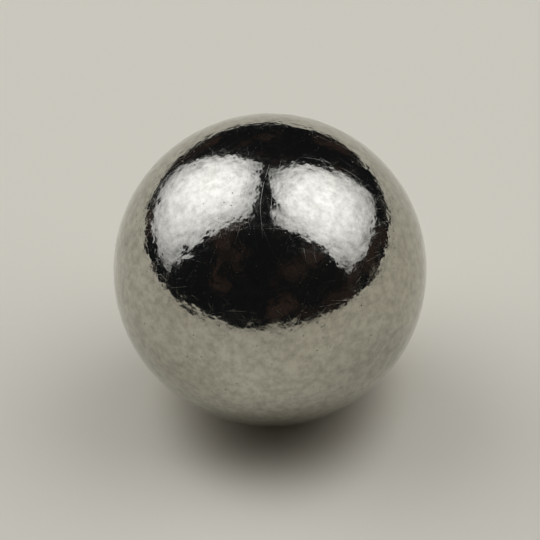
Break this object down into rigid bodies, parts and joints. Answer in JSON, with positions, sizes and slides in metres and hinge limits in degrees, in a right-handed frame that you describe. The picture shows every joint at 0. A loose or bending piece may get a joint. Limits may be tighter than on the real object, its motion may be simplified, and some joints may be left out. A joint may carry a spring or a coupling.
{
  "type": "sphere magnet",
  "caption": "Small solid ball magnet with a bright nickel skin, magnetised straight through its centre so that it clings to like balls and to steel.",
  "frame": {"origin": "centre of the ball", "axes": "+Z along the magnetic axis, towards the north pole; X and Y are any two directions across it, as the ball is the same all round"},
  "size_m": [0.006, 0.006, 0.006],
  "materials": {
    "nickel_plating": "polished"
  },
  "bodies": {
    "root": {"magnet_ball": "nickel_plating"}
  },
  "joints": []
}
